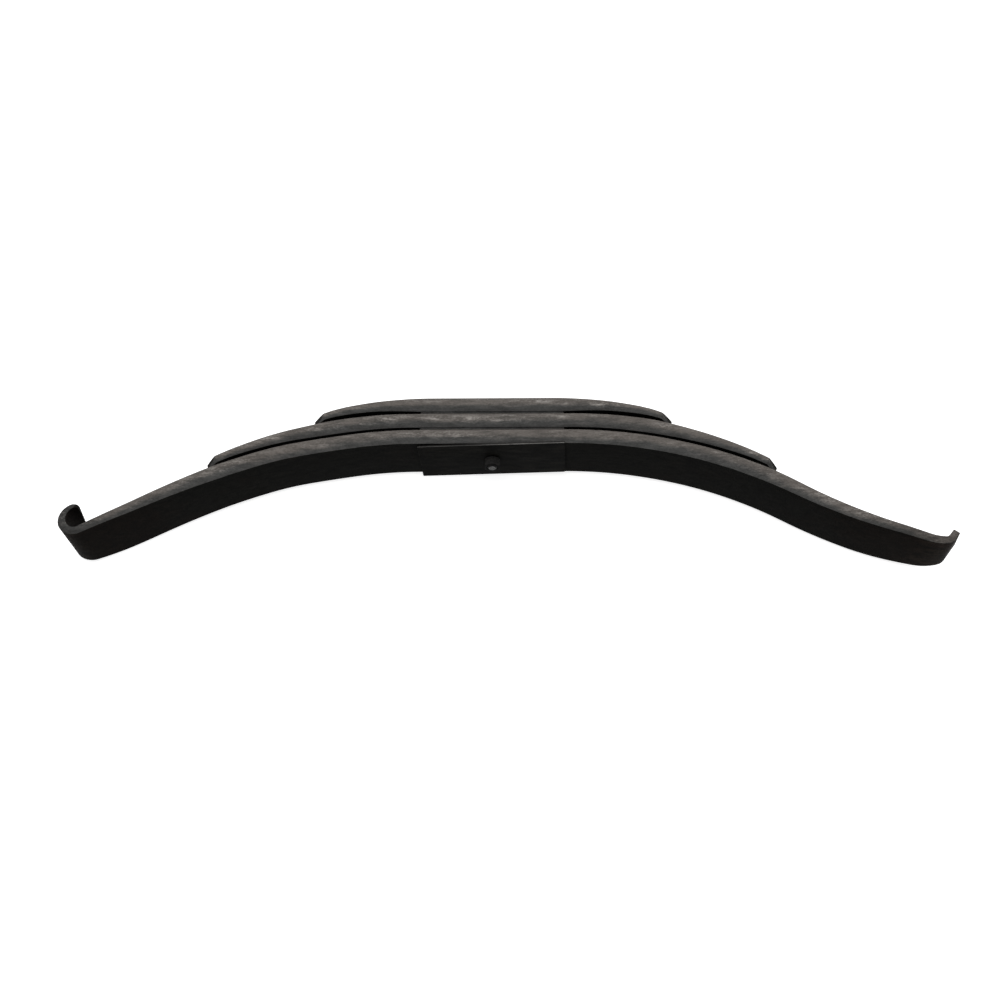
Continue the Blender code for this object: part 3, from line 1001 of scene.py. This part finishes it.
def bolt_material(group):
    """Dark oiled thread and head, and a bright end with turning marks round the bolt's axis."""
    material, net, shader, place = new_material("bolt_steel_dull", (0.03, 0.03, 0.03), 0.55, 0.1)
    dark = use_scale(
        net, group, place, (0.008, 0.008, 0.008), (0.014, 0.011, 0.009), (0.05, 0.048, 0.045),
        brown_share=0.4, rubbed_share=0.4, contrast=0.8,
    )
    bright = use_scale(
        net, group, place, (0.085, 0.085, 0.085), (0.065, 0.06, 0.055), (0.15, 0.145, 0.14),
        brown_share=0.4, rubbed_share=0.6, contrast=1.0,
    )
    centred = net.add("ShaderNodeMapping", vector_type="POINT")
    net.set(centred, Location=(0, 0, -MIDDLE_Z), Scale=(1, 0, 1))
    net.join(place, centred.inputs["Vector"])
    radius = net.add("ShaderNodeVectorMath", operation="LENGTH")
    net.join(centred.outputs["Vector"], radius.inputs[0])
    faced = net.step(net.size(facing(net)["Y"]), 0.3, 0.6)
    rim = (BOLT_FACE_RADIUS - 0.2 * MM, BOLT_FACE_RADIUS + 0.2 * MM)
    ground = net.times(faced, net.step(radius.outputs["Value"], *rim, 1.0, 0.0))
    net.join(net.mix(ground, dark["Color"], bright["Color"]), shader.inputs["Base Color"])
    rings = net.add("ShaderNodeTexWave", wave_type="RINGS", rings_direction="SPHERICAL")
    net.set(rings, Scale=520, Distortion=0.6, Detail=2)
    net.join(centred.outputs["Vector"], rings.inputs["Vector"])
    bump(net, shader, net.plus(bright["Height"], net.times(rings.outputs["Fac"], 0.3)), 0.3, 0.0003)
    return material


def nut_material(group):
    """Black oiled nut, painted lighter on the flats that face up, where the lamps above light them."""
    material, net, shader, place = new_material("nut_steel_dull", (0.02, 0.02, 0.02), 0.6, 0.03)
    black = use_scale(
        net, group, place, (0.002, 0.002, 0.0018), (0.003, 0.0026, 0.002), (0.015, 0.014, 0.013),
        brown_share=0.4, rubbed_share=0.3, contrast=0.8,
    )
    lit_top_flats = use_scale(
        net, group, place, (0.021, 0.021, 0.021), (0.026, 0.024, 0.021), (0.06, 0.057, 0.054),
        brown_share=0.45, rubbed_share=0.4, contrast=0.5,
    )
    # painted light: the flats that face up get the lighter colour, as the lamps above light them
    up = net.step(facing(net)["Z"], 0.1, 0.7)
    net.join(net.mix(up, black["Color"], lit_top_flats["Color"]), shader.inputs["Base Color"])
    bump(net, shader, lit_top_flats["Height"], 0.4, 0.0004)
    return material


def floor_material():
    """A backlit pale table, so that shadows on it stay faint."""
    pale = (0.8, 0.8, 0.8)
    material, net, shader, place = new_material("pale_floor", pale, 0.9, 0.1)
    net.join(net.mix(net.noise(place, 3, 2), pale, (0.77, 0.77, 0.77)), shader.inputs["Base Color"])
    shader.inputs["Emission Color"].default_value = (1, 1, 1, 1)
    shader.inputs["Emission Strength"].default_value = FLOOR_GLOW
    return material


def paint(pieces, material):
    """Gives pieces their one material."""
    for piece in pieces:
        piece.data.materials.clear()
        piece.data.materials.append(material)


# ---- the room ------------------------------------------------------------------------------------


def make_floor():
    """The table that the spring lies on."""
    deselect()
    bpy.ops.mesh.primitive_plane_add(size=FLOOR_SIZE, location=(0, 0, CAD_BOX[0][2]))
    floor = bpy.context.object
    floor.name = "floor"
    bpy.ops.object.transform_apply(location=True, rotation=True, scale=True)
    return floor


def make_world():
    """The room lights the spring softly, and shows white itself."""
    world = bpy.data.worlds.new("studio")
    bpy.context.scene.world = world
    world.use_nodes = True
    sky = world.node_tree.nodes["Background"]
    sky.inputs["Color"].default_value = (1, 1, 1, 1)
    net = Net(world.node_tree)
    seen = net.add("ShaderNodeLightPath").outputs["Is Camera Ray"]
    net.join(net.step(seen, 0, 1, ROOM_LIGHT, 1.0), sky.inputs["Strength"])


def make_lamps():
    """Soft square lamps that look at the bolt."""
    for name, place, size, power in LAMPS:
        light = bpy.data.lights.new(name, "AREA")
        light.size = size
        light.energy = power
        lamp = bpy.data.objects.new(name, light)
        lamp.location = place
        lamp.rotation_euler = (-Vector(place)).to_track_quat("-Z", "Y").to_euler()
        bpy.context.scene.collection.objects.link(lamp)


def make_camera():
    """Looks down at the concave side."""
    data = bpy.data.cameras.new("camera")
    data.lens = 39.6
    data.sensor_width = 36
    camera = bpy.data.objects.new("camera", data)
    camera.location = (0.0190, -0.7622, 1.2412)
    camera.rotation_euler = (math.radians(29.80), math.radians(0.45), math.radians(-0.02))
    bpy.context.scene.collection.objects.link(camera)
    bpy.context.scene.camera = camera


def main():
    """Camera, pieces, their materials, and the room."""
    make_camera()
    leaves = make_leaves()
    liners = make_liners()
    plate = make_clamp_plate()
    bolt = make_bolt()
    nut = make_nut()
    group = scale_group()
    paint(leaves, leaf_material(group))
    paint(liners, liner_material(group))
    paint([plate], plate_material(group))
    paint([bolt], bolt_material(group))
    paint([nut], nut_material(group))
    paint([make_floor()], floor_material())
    make_world()
    make_lamps()
    bpy.context.scene.view_settings.view_transform = "Standard"


main()
